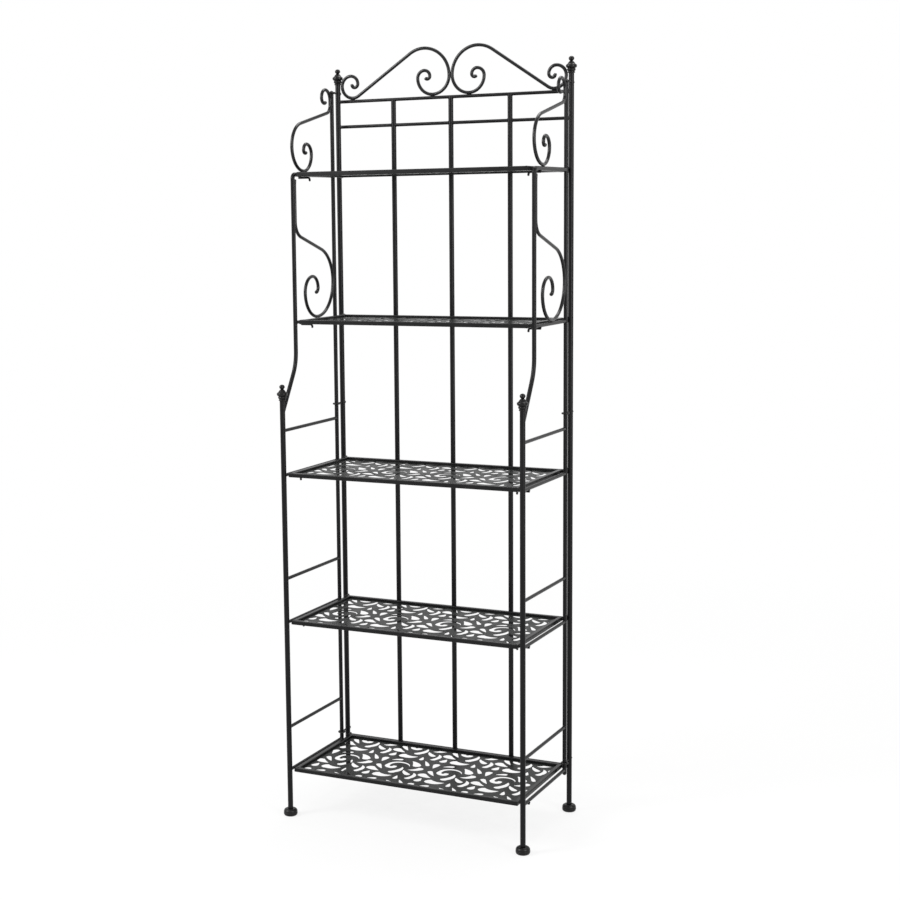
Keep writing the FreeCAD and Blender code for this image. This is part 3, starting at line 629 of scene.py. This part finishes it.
def turnedOnPosts(kind, look, slot, baseOf, tip=()):
    # the same turned piece on all four posts
    profile = [*softened(look["profile"], look["corner"]), *tip]
    for row, y in (("back", backY), ("front", frontY)):
        for side, sign in sides.items():
            node = f"{row}_{kind.lower()}_{side}"
            work = bmesh.new()
            turnInto(work, profile, (sign * postX, y, baseOf(node)), look["steps"])
            body = "back_frame" if row == "back" else sideBody[side]
            finish(tidied(work, f"{row}{kind}_{side}", 50), body, slot, node)


finial = {
    "corner": 0.6, "steps": 48,
    # radius and height above the post
    "profile": [(0, -4), (5.1, -4), (5.1, -0.2), (8, 0), (8.5, 0.8), (8.5, 2.4), (7.5, 3.2), (7.6, 4),
                (9.2, 5.4), (9.9, 7), (10, 8.6), (9.3, 9.8), (8.8, 10.5), (9.4, 11.1), (11.4, 12.2),
                (12.6, 13.8), (12.8, 15.4), (12.8, 17.4), (12, 19), (10.2, 20), (8.9, 21.2), (7, 24.2),
                (4.4, 26.8), (3.4, 27.6)],
    "knobRadius": 6.6, "knobRise": 5.75, "knobHeight": 32.75,
}
knobAngles = [math.radians(angle) for angle in range(-50, 91, 10)]
knob = [(finial["knobRadius"] * math.cos(angle), finial["knobHeight"] + finial["knobRise"] * math.sin(angle))
        for angle in knobAngles]
finialTop = (finial["knobHeight"] + finial["knobRise"]) * mm
turnedOnPosts("Finial", finial, "finial_paint", lambda node: highest(node).z - finialTop, knob)

foot = {
    "corner": 1.2, "steps": 56,
    "profile": [(0, 0.9), (8, 0.9), (9.5, 0), (12.5, 0), (15.6, 1.6), (16.9, 4.6), (17, 8), (16.9, 8.8),
                (16.3, 9.2), (16.3, 9.9), (16.8, 10.3), (16.6, 12.6), (15, 15.6), (12.4, 17.4), (9.6, 18),
                (7.6, 17.8), (6.9, 17), (6.3, 17), (5.1, 17.4), (5.1, 30.4), (4.4, 32), (0, 32)],
}
turnedOnPosts("Foot", foot, "foot_plastic", lambda node: 0)

# Shelf pivots: a pin at each rear corner, in a lug on the back post
pin = {
    "corner": 0.4, "steps": 24, "start": 281 * mm,
    "profile": [(0, 0), (3, 0), (3, 16.7), (2.7, 17.5), (1.8, 18.2), (0, 18.5)],
}
pinProfile = softened(pin["profile"], pin["corner"])
for shelf in shelves:
    node = f"{shelf}_shelf_pivot_pins"
    work = bmesh.new()
    for sign in sides.values():
        place = (sign * pin["start"], pivotY, middle(node).z)
        turnInto(work, pinProfile, place, pin["steps"], axis=(sign, 0, 0))
    finish(tidied(work, f"pivotPins_{shelf}"), f"{shelf}_shelf", "hardware_paint", node)

lug = {"inner": 293 * mm, "thickness": 5 * mm, "nose": 6 * mm, "bore": 3.05 * mm, "bevel": 0.5 * mm}


def lugInto(work, sign, level):
    # a tab with a round nose about the pin, squared off at the post
    rear = backY - pivotY
    outline = [(lug["nose"] * math.cos(math.radians(angle)), lug["nose"] * math.sin(math.radians(angle)))
               for angle in range(90, 271, 12)]
    outline += [(rear * share, -lug["nose"]) for share in (0.33, 0.66, 1)]
    outline += [(rear, -lug["nose"] / 3), (rear, lug["nose"] / 3)]
    outline += [(rear * share, lug["nose"]) for share in (1, 0.66, 0.33)]
    bore = []
    for y, z in outline:
        angle = math.atan2(z, y)
        bore.append((lug["bore"] * math.cos(angle), lug["bore"] * math.sin(angle)))
    nearX, farX = sign * lug["inner"], sign * (lug["inner"] + lug["thickness"])
    rings = []
    for x, loop in ((nearX, bore), (nearX, outline), (farX, outline), (farX, bore)):
        rings.append([work.verts.new((x, pivotY + y, level + z)) for y, z in loop])
    count = len(outline)
    for ring, following in zip(rings, rings[1:] + rings[:1]):
        for step in range(count):
            after = (step + 1) % count
            work.faces.new((ring[step], ring[after], following[after], following[step]))
    rim = []
    for ring in rings[1:3]:
        for step in range(count):
            rim.append(work.edges.get((ring[step], ring[(step + 1) % count])))
    bmesh.ops.bevel(work, geom=rim, offset=lug["bevel"], segments=3, profile=0.5, affect="EDGES")


for side, sign in sides.items():
    work = bmesh.new()
    for shelf in shelves:
        lugInto(work, sign, middle(f"{shelf}_shelf_pivot_pins").z)
    finish(tidied(work, f"pivotLugs_{side}"), "back_frame", "hardware_paint", f"shelf_pivot_lugs_{side}")
print("finials, feet, pins and lugs done")

# Pierced sheets, in millimetres. Each leaf has its head centre, head radius, tip, and how far the tail bows.
# Cut leaves with less than the smallest area are left solid.
sheet = {
    "repeat": (138.5, 151.5), "border": 4, "tube": 10, "fullness": 0.04, "smallest": 20, "arcSteps": 6,
    "leaves": [
        (28.5, 125.5, 6.5, 50, 98.5, -1), (21.5, 96.5, 12, 51.5, 83, -2.5), (82, 88, 10, 91, 131.5, -7.5),
        (124.5, 85.5, 7.5, 102.5, 111.5, 2), (137, 61, 8.5, 134, 102.5, -8), (26.5, 56, 9.5, 29, 75.5, 0),
        (58, 60.5, 14.5, 95, 68.5, -8), (109.5, 47.5, 6, 105.5, 69.5, 0), (143, 12.5, 5, 123, 43.5, -1),
        (23.5, 25.5, 9, 25, -3, 0.5), (119, 1.5, 11, 94.5, 30, -3), (135, 131.5, 11.5, 108, 118, 6),
        (63, 27.5, 7.5, 40, 14.5, -2),
    ],
    # corners of the curl, each with a point on the arc that follows it
    "curl": [((106, 137.5), (95, 158.5)), ((73, 166), (53, 156.5)), ((46, 138.5), (50, 117)),
             ((63, 110), (76, 115)), ((78, 123.5), (73, 132.5)), ((65, 131.5), (60.5, 125.5)),
             ((57, 131.5), (61, 148)), ((76, 155.5), (94, 151.5))],
}


def arcPoints(start, via, stop, count):
    # points on the arc through three places, without the last one
    (ax, ay), (bx, by), (cx, cy) = start, via, stop
    twice = 2 * (ax * (by - cy) + bx * (cy - ay) + cx * (ay - by))
    a2, b2, c2 = ax * ax + ay * ay, bx * bx + by * by, cx * cx + cy * cy
    centreX = (a2 * (by - cy) + b2 * (cy - ay) + c2 * (ay - by)) / twice
    centreY = (a2 * (cx - bx) + b2 * (ax - cx) + c2 * (bx - ax)) / twice
    radius = math.hypot(ax - centreX, ay - centreY)
    first = math.atan2(ay - centreY, ax - centreX)
    toVia = (math.atan2(by - centreY, bx - centreX) - first) % (2 * math.pi)
    sweep = (math.atan2(cy - centreY, cx - centreX) - first) % (2 * math.pi)
    if toVia > sweep:
        sweep -= 2 * math.pi
    angles = [first + sweep * step / count for step in range(count)]
    return [(centreX + radius * math.cos(angle), centreY + radius * math.sin(angle)) for angle in angles]


def arcLoop(corners, count):
    loop = []
    for (corner, via), following in zip(corners, corners[1:] + corners[:1]):
        loop += arcPoints(corner, via, following[0], count)
    return [(x * mm, y * mm, 0) for x, y in loop]


def leafLoop(headX, headY, radius, tipX, tipY, bow):
    length = math.hypot(tipX - headX, tipY - headY)
    alongX, alongY = (tipX - headX) / length, (tipY - headY) / length
    fullness = sheet["fullness"] * length

    def at(along, across):
        return (headX + along * alongX - across * alongY, headY + along * alongY + across * alongX)

    left, right, tip = at(0, radius), at(0, -radius), (tipX, tipY)
    leftVia = at(length / 2, radius / 2 + bow + fullness)
    rightVia = at(length / 2, -radius / 2 + bow - fullness)
    return arcLoop([(left, at(-radius, 0)), (right, rightVia), (tip, leftVia)], sheet["arcSteps"])


motif = [leafLoop(*leaf) for leaf in sheet["leaves"]] + [arcLoop(sheet["curl"], sheet["arcSteps"])]


def buildSheetTree():
    # repeats the motif over the field, trims it to the solid border and punches it through a plate
    tree, given = newTree("piercedSheet", {
        "width": 0.562, "depth": 0.28, "thickness": 0.0012, "border": 0.004, "repeatX": 0.1385,
        "repeatY": 0.1515, "columns": 8, "rows": 6, "first": (0, 0, 0), "smallest": 0.00002,
        "corner": (0, 0, 0)})
    faces = geo(tree, "FillCurve", {"Curve": given["Geometry"]}, mode="NGONS")
    wide = maths(tree, "MULTIPLY", maths(tree, "SUBTRACT", given["columns"], 1.0), given["repeatX"])
    deep = maths(tree, "MULTIPLY", maths(tree, "SUBTRACT", given["rows"], 1.0), given["repeatY"])
    grid = geo(tree, "MeshGrid", {
        "Size X": wide, "Size Y": deep, "Vertices X": given["columns"], "Vertices Y": given["rows"]})
    half = vectorMaths(tree, "MULTIPLY", vector(tree, wide, deep), (0.5, 0.5, 0))
    start = vectorMaths(tree, "ADD", given["first"], half)
    points = geo(tree, "Transform", {"Geometry": grid, "Translation": start})
    spread = geo(tree, "InstanceOnPoints", {"Points": points, "Instance": faces})
    flat = geo(tree, "RealizeInstances", {"Geometry": spread})
    cutDepth = maths(tree, "MULTIPLY", given["thickness"], 5.0)
    raised = geo(tree, "ExtrudeMesh", {
        "Mesh": flat, "Offset": (0, 0, 1), "Offset Scale": cutDepth, "Individual": False}, mode="FACES")
    closed = geo(tree, "JoinGeometry", {0: [raised, geo(tree, "FlipFaces", {"Mesh": flat})]})
    sealed = geo(tree, "MergeByDistance", {"Geometry": closed, "Distance": 1e-6})
    drop = vector(tree, z=maths(tree, "MULTIPLY", cutDepth, -0.5))
    punches = geo(tree, "Transform", {"Geometry": sealed, "Translation": drop})
    twiceBorder = maths(tree, "MULTIPLY", given["border"], 2.0)
    fieldSize = vector(
        tree, maths(tree, "SUBTRACT", given["width"], twiceBorder),
        maths(tree, "SUBTRACT", given["depth"], twiceBorder),
        maths(tree, "MULTIPLY", given["thickness"], 3.0))
    plateSize = vector(tree, given["width"], given["depth"], given["thickness"])
    centre = vectorMaths(tree, "MULTIPLY", plateSize, (0.5, 0.5, 0))
    field, plate = [
        geo(tree, "Transform", {"Geometry": geo(tree, "MeshCube", {"Size": extent}), "Translation": centre})
        for extent in (fieldSize, plateSize)]
    trimmed = geo(tree, "MeshBoolean", {"Mesh 2": [punches, field], "Self Intersection": True},
                  operation="INTERSECT", solver="EXACT")
    # scraps of a leaf along the border are left solid, by the area of their tops
    upward = addNode(tree, "ShaderNodeSeparateXYZ", {0: geo(tree, "InputNormal")}).outputs["Z"]
    topArea = maths(tree, "MULTIPLY", geo(tree, "InputMeshFaceArea"),
                    maths(tree, "GREATER_THAN", upward, 0.9))
    total = addNode(tree, "GeometryNodeAccumulateField", {
        "Value": topArea, "Group ID": geo(tree, "InputMeshIsland")}, domain="FACE").outputs["Total"]
    small = addNode(tree, "FunctionNodeCompare", {"A": total, "B": given["smallest"]},
                    data_type="FLOAT", operation="LESS_THAN").outputs[0]
    kept = geo(tree, "DeleteGeometry", {"Geometry": trimmed, "Selection": small}, domain="FACE")
    punched = geo(tree, "MeshBoolean", {"Mesh 1": plate, "Mesh 2": kept},
                  operation="DIFFERENCE", solver="EXACT")
    moved = geo(tree, "Transform", {"Geometry": punched, "Translation": given["corner"]})
    return closeTree(tree, given, moved)


sheetTree = buildSheetTree()
repeatX, repeatY = sheet["repeat"]
for shelf in shelves:
    low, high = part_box(f"{shelf}_shelf_sheet")
    wide, deep = (high.x - low.x) / mm, (high.y - low.y) / mm
    values = {
        "width": wide * mm, "depth": deep * mm, "thickness": high.z - low.z, "border": sheet["border"] * mm,
        "repeatX": repeatX * mm, "repeatY": repeatY * mm, "smallest": sheet["smallest"] * mm * mm,
        "columns": math.ceil((wide + 2 * sheet["tube"]) / repeatX) + 3,
        "rows": math.ceil((deep + 2 * sheet["tube"]) / repeatY) + 3,
        "first": ((-2 * repeatX - sheet["tube"]) * mm, (-2 * repeatY - sheet["tube"]) * mm, 0),
        "corner": (low.x, low.y, (low.z + high.z) / 2),
    }
    name = f"piercedSheet_{shelf}"
    piece = grow(name, curveOf(name, motif, closed=True), sheetTree, "shelf_sheet_paint", values, 30)
    finish(piece, f"{shelf}_shelf", "shelf_sheet_paint", f"{shelf}_shelf_sheet")
    print(name, "faces:", len(piece.data.polygons))


# Welds. A seam runs round the place where a rod meets an upright; a tack is a short bead on a contact.
weld = {
    "bead": 1.0 * mm, "ripple": 0.16, "pitch": 2.4 * mm, "wander": 0.5 * mm, "step": 0.8 * mm,
    "tackLength": 11 * mm, "reach": 2.3 * mm, "strandDrops": (12 * mm, 60 * mm, 108 * mm),
    # where to look for the crest's low points; a seam on an equally thick rod
    "lobeWithin": 100 * mm, "curlBeyond": 200 * mm, "sameThickness": 0.98,
}


def seam(axisPoint, along, rod, upright, span=(0, 360)):
    centre, along = Vector(axisPoint), Vector(along)
    across = along.cross(Vector((0, 0, 1)))
    loop = []
    closed = span == (0, 360)
    count = 24
    for step in range(count if closed else count + 1):
        angle = math.radians(span[0] + (span[1] - span[0]) * step / count)
        sideways, up = rod * math.sin(angle), rod * math.cos(angle)
        out = math.sqrt(max(upright ** 2 - sideways ** 2, 0))
        loop.append(tuple(centre + along * out + across * sideways + Vector((0, 0, up))))
    return loop


def straightRun(start, stop, steps=6):
    return [tuple(start.lerp(stop, step / steps)) for step in range(steps + 1)]


def tack(centre, along, length=weld["tackLength"]):
    half = Vector(along) * length / 2
    return straightRun(Vector(centre) - half, Vector(centre) + half)


lugWeld = {"sink": 0.1 * mm, "length": 7 * mm, "back": 2.5 * mm}
pegWeld = {"apart": 1.6 * mm, "lift": 0.3 * mm, "length": 5 * mm}
tubeWeld = {"tube": 10 * mm, "round": 1.6 * mm, "bead": 0.55 * mm, "sink": 0.1 * mm}


def welded(name, body, slot, closed=(), runs=(), bead=weld["bead"]):
    for label, lines, cyclic in (("Seams", closed, True), ("Tacks", runs, False)):
        if lines:
            source = curveOf(name + label, lines, cyclic)
            finish(grow(name + label, source, weldTree, slot, {**weld, "bead": bead}, 80), body, slot)


def lowPoint(flat, beyond=-1, within=1):
    # the lowest point of a flat path, or of its part between two distances
    return min((point for point in flat if beyond < point[0] < within), key=lambda point: point[1])


barX = [middle(f"back_bar_{where}").x for where in ("left", "middle", "right")]
footRailZ = middle("foot_rail").z
reach = weld["reach"]
seams, tacks = [], []
for sign in sides.values():
    for z in (crestZ, secondZ, footRailZ):
        seams.append(seam((sign * postX, backY, z), (-sign, 0, 0), railRadius, postRadius))
for x in barX:
    for sign in (-1, 1):
        seams.append(seam((x, backY, secondZ), (sign, 0, 0), railRadius, barRadius))
        tacks.append(seam((x, backY, crestZ), (sign, 0, 0), railRadius, barRadius, (90, 270)))
        tacks.append(seam((x, backY, footRailZ), (sign, 0, 0), railRadius, barRadius, (-90, 90)))
lobeLow = lowPoint(crestFlat, within=weld["lobeWithin"])
curlLow = lowPoint(crestFlat, beyond=weld["curlBeyond"])
touchZ = min(crestFlat, key=lambda point: point[0])[1]
for out in (-reach, reach):
    for sign in (-1, 1):
        for x, z in (lobeLow, curlLow):
            tacks.append(tack((sign * x, backY + out, crestZ + railRadius), (1, 0, 0)))
    tacks.append(tack((0, backY + out, touchZ), (0, 0, 1)))
lugWeldX = lug["inner"] + lug["thickness"] - 2 * lugWeld["sink"]
lugWeldRise = lug["nose"] - lugWeld["sink"]
for sign in sides.values():
    for shelf in shelves:
        for edge in (-1, 1):
            z = middle(f"{shelf}_shelf_pivot_pins").z + edge * lugWeldRise
            tacks.append(tack((sign * lugWeldX, backY - lugWeld["back"], z), (0, 1, 0), lugWeld["length"]))
welded("backFrame", "back_frame", "frame_paint", seams, tacks)

strandTop = max(lowerFlat, key=lambda point: point[1])[1]
for side, sign in sides.items():
    x = sign * postX
    seams, tacks = [], []
    for shelf in ("upper", "middle", "lower", "bottom"):
        start, thick = (uprightY, rodRadius) if shelf == "upper" else (frontY, postRadius)
        levels = [railZ[shelf]] if shelf == "upper" else [railZ[shelf], railZ[shelf] + rungRise]
        for z in levels:
            seams.append(seam((x, start, z), (0, 1, 0), railRadius, thick))
            seams.append(seam((x, hingeY, z), (0, -1, 0), railRadius, rodRadius))
    seams.append(seam((x, hingeY, topRailZ), (0, -1, 0), weld["sameThickness"] * rodRadius, rodRadius))
    for out in (-reach, reach):
        for flat, z in ((upperFlat, topRailZ + rodRadius), (lowerFlat, railZ["upper"] + railRadius)):
            tacks.append(tack((x + out, lowPoint(flat)[0], z), (0, 1, 0)))
            rear = max(flat, key=lambda point: point[0])
            tacks.append(tack((x + out, hingeY - rodRadius, rear[1]), (0, 0, 1)))
        for drop in weld["strandDrops"]:
            spot = (x + out, uprightY + rodRadius, strandTop - drop)
            tacks.append(tack(spot, (0, 0, 1)))
        for shelf in shelves:
            upright = uprightY if shelf in ("top", "upper") else frontY
            thick = rodRadius if shelf == "top" else railRadius
            for edge in (-1, 1):
                y = upright + peg["setback"] + edge * pegWeld["apart"]
                spot = (x + out, y, railZ[shelf] - thick + pegWeld["lift"])
                tacks.append(tack(spot, (1, 0, 0), pegWeld["length"]))
    welded(f"sideFrame_{side}", sideBody[side], "frame_paint", seams, tacks)

for shelf in shelves:
    low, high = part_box(f"{shelf}_shelf_frame")
    runs = []
    for cornerX, inX in ((low.x, 1), (high.x, -1)):
        for cornerY, inY in ((low.y, 1), (high.y, -1)):
            corner, inward = Vector((cornerX, cornerY, 0)), Vector((inX, inY, 0))
            for z in (low.z, high.z):
                start = corner + inward * tubeWeld["round"] + Vector((0, 0, z))
                stop = corner + inward * tubeWeld["tube"] + Vector((0, 0, z))
                runs.append(straightRun(start, stop))
            centre = corner + inward * tubeWeld["sink"] + Vector((0, 0, (low.z + high.z) / 2))
            runs.append(tack(centre, (0, 0, 1), tubeWeld["tube"] - tubeWeld["round"]))
    welded(f"mitre_{shelf}", f"{shelf}_shelf", "shelf_frame_paint", runs=runs, bead=tubeWeld["bead"])


def buildTackTree():
    # drops of weld at even spacing along each curve
    tree, given = newTree("sheetTacks", {"spacing": 0.062, "size": 0.0012, "seed": 3})
    spots = addNode(tree, "GeometryNodeCurveToPoints", {
        "Curve": given["Geometry"], "Length": given["spacing"]}, mode="LENGTH").outputs
    drop = geo(tree, "MeshIcoSphere", {"Radius": given["size"], "Subdivisions": 3})
    lots = addNode(tree, "FunctionNodeRandomValue", {
        0: (0.85, 0.85, 1.7), 1: (1.2, 1.2, 3.0), "Seed": given["seed"]}, data_type="FLOAT_VECTOR").outputs[0]
    placed = geo(tree, "InstanceOnPoints", {
        "Points": spots["Points"], "Instance": drop, "Rotation": spots["Rotation"], "Scale": lots})
    return closeTree(tree, given, placed)


tackTree = buildTackTree()
sheetTack = {"spacing": 62 * mm, "size": 1.2 * mm, "below": 0.2 * mm}
for index, shelf in enumerate(shelves):
    low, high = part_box(f"{shelf}_shelf_sheet")
    z = low.z - sheetTack["below"]
    loop = [(low.x, low.y, z), (high.x, low.y, z), (high.x, high.y, z), (low.x, high.y, z)]
    name = f"sheetTacks_{shelf}"
    source = curveOf(name, [loop], closed=True)
    piece = grow(name, source, tackTree, "shelf_frame_paint", {**sheetTack, "seed": index})
    finish(piece, f"{shelf}_shelf", "shelf_frame_paint")
print("welds done")

# Stage, light and camera
stage = {
    "floorSize": 30, "floorColour": (0.86, 0.86, 0.855), "skyStrength": 0.6, "skyColour": (1, 1, 1),
    "nearWhite": 0.82, "fadeStart": 0.9, "fadeEnd": 3.2, "mottleScale": 0.6, "mottleTone": 0.985,
}
lamps = {
    "keyLight": {"place": (-2.6, -2.8, 3.0), "sizes": (1.2, 2.2), "power": 150},
    "fillLight": {"place": (3.4, -1.6, 1.8), "sizes": (1.2, 2.4), "power": 70},
    "topLight": {"place": (0.2, 1.2, 4.2), "sizes": (2.4, 1.6), "power": 60},
}
lampAim = Vector((0, 0, 0.9))


def whenSeen(tree):
    # 1 for what the camera sees, straight or by reflection
    ray = addNode(tree, "ShaderNodeLightPath").outputs
    shiny = maths(tree, "MAXIMUM", ray["Is Glossy Ray"], ray["Is Transmission Ray"])
    return maths(tree, "MAXIMUM", ray["Is Camera Ray"], shiny)


def paleFloor(name):
    # fades from a pale floor that keeps the shadow to plain white further out
    material = bpy.data.materials.new(name)
    material.use_nodes = True
    tree = material.node_tree
    tree.nodes.clear()
    place = addNode(tree, "ShaderNodeTexCoord").outputs["Object"]
    mottle = addNode(tree, "ShaderNodeTexNoise", {
        "Vector": place, "Scale": stage["mottleScale"], "Detail": 3.0}).outputs["Fac"]
    tint = addNode(tree, "ShaderNodeMix", {"Factor": mottle}, data_type="RGBA")
    tint.inputs["A"].default_value = (*stage["floorColour"], 1)
    tint.inputs["B"].default_value = (*(stage["mottleTone"] * part for part in stage["floorColour"]), 1)
    shader = addNode(tree, "ShaderNodeBsdfPrincipled", {
        "Base Color": tint.outputs["Result"], "Roughness": 0.9, "Specular IOR Level": 0.1})
    white = addNode(tree, "ShaderNodeEmission", {"Color": (1, 1, 1, 1), "Strength": 1.0})
    distance = addNode(tree, "ShaderNodeVectorMath", {0: place}, operation="LENGTH").outputs["Value"]
    share = addNode(tree, "ShaderNodeMapRange", {
        "Value": distance, "From Min": stage["fadeStart"], "From Max": stage["fadeEnd"],
        "To Min": stage["nearWhite"], "To Max": 1.0}, interpolation_type="SMOOTHSTEP").outputs[0]
    both = addNode(tree, "ShaderNodeMixShader", {
        0: maths(tree, "MULTIPLY", share, whenSeen(tree)), 1: shader.outputs[0], 2: white.outputs[0]})
    addNode(tree, "ShaderNodeOutputMaterial", {0: both.outputs[0]})
    return material


world = bpy.data.worlds.new("studio")
bpy.context.scene.world = world
world.use_nodes = True
worldTree = world.node_tree
worldTree.nodes.clear()
dim = addNode(worldTree, "ShaderNodeBackground", {
    "Color": (*stage["skyColour"], 1), "Strength": stage["skyStrength"]})
plain = addNode(worldTree, "ShaderNodeBackground", {"Color": (1, 1, 1, 1), "Strength": 1.0})
both = addNode(worldTree, "ShaderNodeMixShader", {
    0: whenSeen(worldTree), 1: dim.outputs[0], 2: plain.outputs[0]})
addNode(worldTree, "ShaderNodeOutputWorld", {0: both.outputs[0]})

floorMesh = bpy.data.meshes.new("floor")
half = stage["floorSize"] / 2
floorCorners = [(x * half, y * half, 0) for x, y in ((-1, -1), (1, -1), (1, 1), (-1, 1))]
floorMesh.from_pydata(floorCorners, [], [(0, 1, 2, 3)])
floor = linkObject("floor", floorMesh)
floorMesh.materials.append(paleFloor("paleFloor"))

for name, lamp in lamps.items():
    light = bpy.data.lights.new(name, "AREA")
    light.shape = "RECTANGLE"
    light.size, light.size_y = lamp["sizes"]
    light.energy = lamp["power"]
    holder = linkObject(name, light)
    holder.location = lamp["place"]
    holder.rotation_euler = (lampAim - Vector(lamp["place"])).to_track_quat("-Z", "Y").to_euler()

view = {
    "place": (1.6526, -3.6082, 1.4540),
    "turn": (82.0485, 0.8081, 26.7906),
    "lens": 67.34, "sensor": 36,
    "shift": (0.1000, 0.0002),
}
cameraData = bpy.data.cameras.new("camera")
cameraData.sensor_width = view["sensor"]
cameraData.lens = view["lens"]
cameraData.shift_x, cameraData.shift_y = view["shift"]
camera = linkObject("camera", cameraData)
camera.location = view["place"]
camera.rotation_euler = Euler([math.radians(angle) for angle in view["turn"]], "XYZ")
bpy.context.scene.camera = camera
bpy.context.scene.view_settings.view_transform = "Standard"
print("stage, light and camera ready")
